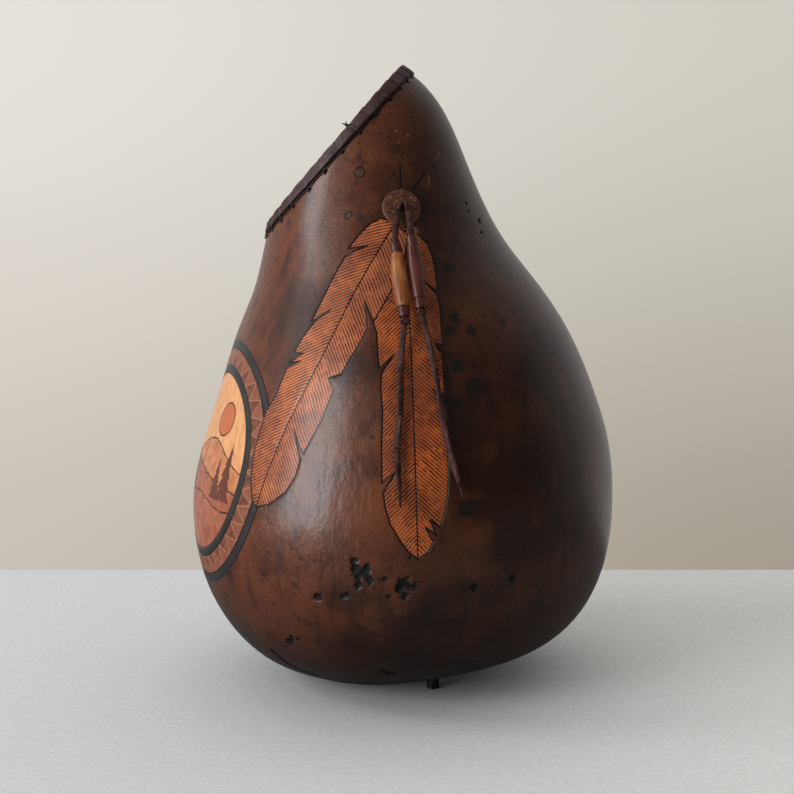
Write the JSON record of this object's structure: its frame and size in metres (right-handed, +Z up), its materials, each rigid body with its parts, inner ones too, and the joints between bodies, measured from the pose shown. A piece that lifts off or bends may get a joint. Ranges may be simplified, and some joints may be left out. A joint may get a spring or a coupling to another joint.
{
  "type": "carved gourd",
  "caption": "Tall dyed gourd vase with a slanted leather-bound mouth, carved feathers and medallion, and a coconut disc with two hanging lace strands of horn beads.",
  "frame": {"origin": "on the standing surface, below the middle of the belly", "axes": "+Z up, -Y towards the front with the disc and strands, -X towards the low side of the slanted mouth"},
  "size_m": [0.2234, 0.2253, 0.3211],
  "materials": {
    "dyed_gourd": "mottled dark red-brown leather dye under gloss lacquer, carved and burned",
    "rim_leather": "thin dark brown leather, satin, puckered at the stitches",
    "black_thread": "waxed black thread",
    "black_foot": "smooth black",
    "coconut_shell": "polished coconut shell with pale flecks",
    "lace": "dark brown leather lace",
    "dark_bead": "polished dark red-brown",
    "amber_horn": "polished translucent amber horn",
    "red_horn": "polished red-brown horn"
  },
  "bodies": {
    "gourd": {"gourd_shell": "dyed_gourd", "rim_leather": "rim_leather", "rim_edge_cord": "black_thread", "rim_stitches": "black_thread", "rim_tie_knot": "black_thread", "foot_front": "black_foot", "foot_right": "black_foot", "foot_left": "black_foot", "lace_anchor": "lace"},
    "disc": {"coconut_disc": "coconut_shell"},
    "left_bend": {"left_lace_bend": "lace"},
    "left_strand": {"left_lace": "lace", "left_bead_knot": "lace", "left_tail_knot": "lace"},
    "left_lower_bead": {"left_lower_cap": "dark_bead"},
    "left_pipe": {"left_pipe_bead": "amber_horn"},
    "left_upper_bead": {"left_upper_cap": "dark_bead"},
    "right_bend": {"right_lace_bend": "lace"},
    "right_strand": {"right_lace": "lace", "right_bead_knot": "lace"},
    "right_lower_bead": {"right_lower_cap": "dark_bead"},
    "right_pipe": {"right_pipe_bead": "red_horn"},
    "right_upper_bead": {"right_upper_cap": "dark_bead"}
  },
  "joints": [
    {"name": "disc_spin", "type": "hinge", "parent": "gourd", "child": "disc", "pos_m": [-0.00143, -0.0545, 0.2465], "axis": [0.1709, -0.9017, 0.3972], "continuous": true},
    {"name": "left_strand_swing", "type": "hinge", "parent": "gourd", "child": "left_bend", "pos_m": [-0.00259, -0.05883, 0.24825], "axis": [0.1709, -0.9017, 0.3972], "range_deg": [-25, 0]},
    {"name": "left_strand_lift", "type": "hinge", "parent": "left_bend", "child": "left_strand", "pos_m": [-0.00259, -0.05883, 0.24825], "axis": [-0.9825, -0.1862, 0], "range_deg": [0, 70]},
    {"name": "left_beads_slide", "type": "slide", "parent": "left_strand", "child": "left_lower_bead", "axis": [-0.104, 0.4742, 0.8743], "range_m": [0, 0.0035]},
    {"name": "left_pipe_spin", "type": "hinge", "parent": "left_lower_bead", "child": "left_pipe", "pos_m": [-0.0039, -0.0691, 0.2297], "axis": [0.104, -0.4742, -0.8743], "continuous": true},
    {"name": "left_upper_cap_spin", "type": "hinge", "parent": "left_lower_bead", "child": "left_upper_bead", "pos_m": [-0.0039, -0.0691, 0.2297], "axis": [0.104, -0.4742, -0.8743], "continuous": true},
    {"name": "right_strand_swing", "type": "hinge", "parent": "gourd", "child": "right_bend", "pos_m": [0.00124, -0.0581, 0.24825], "axis": [0.1709, -0.9017, 0.3972], "range_deg": [0, 25]},
    {"name": "right_strand_lift", "type": "hinge", "parent": "right_bend", "child": "right_strand", "pos_m": [0.00124, -0.0581, 0.24825], "axis": [-0.9825, -0.1862, 0], "range_deg": [0, 70]},
    {"name": "right_beads_slide", "type": "slide", "parent": "right_strand", "child": "right_lower_bead", "axis": [-0.1106, 0.4772, 0.8718], "range_m": [0, 0.0035]},
    {"name": "right_pipe_spin", "type": "hinge", "parent": "right_lower_bead", "child": "right_pipe", "pos_m": [0.0035, -0.0662, 0.2333], "axis": [0.1106, -0.4772, -0.8718], "continuous": true},
    {"name": "right_upper_cap_spin", "type": "hinge", "parent": "right_lower_bead", "child": "right_upper_bead", "pos_m": [0.0035, -0.0662, 0.2333], "axis": [0.1106, -0.4772, -0.8718], "continuous": true}
  ]
}
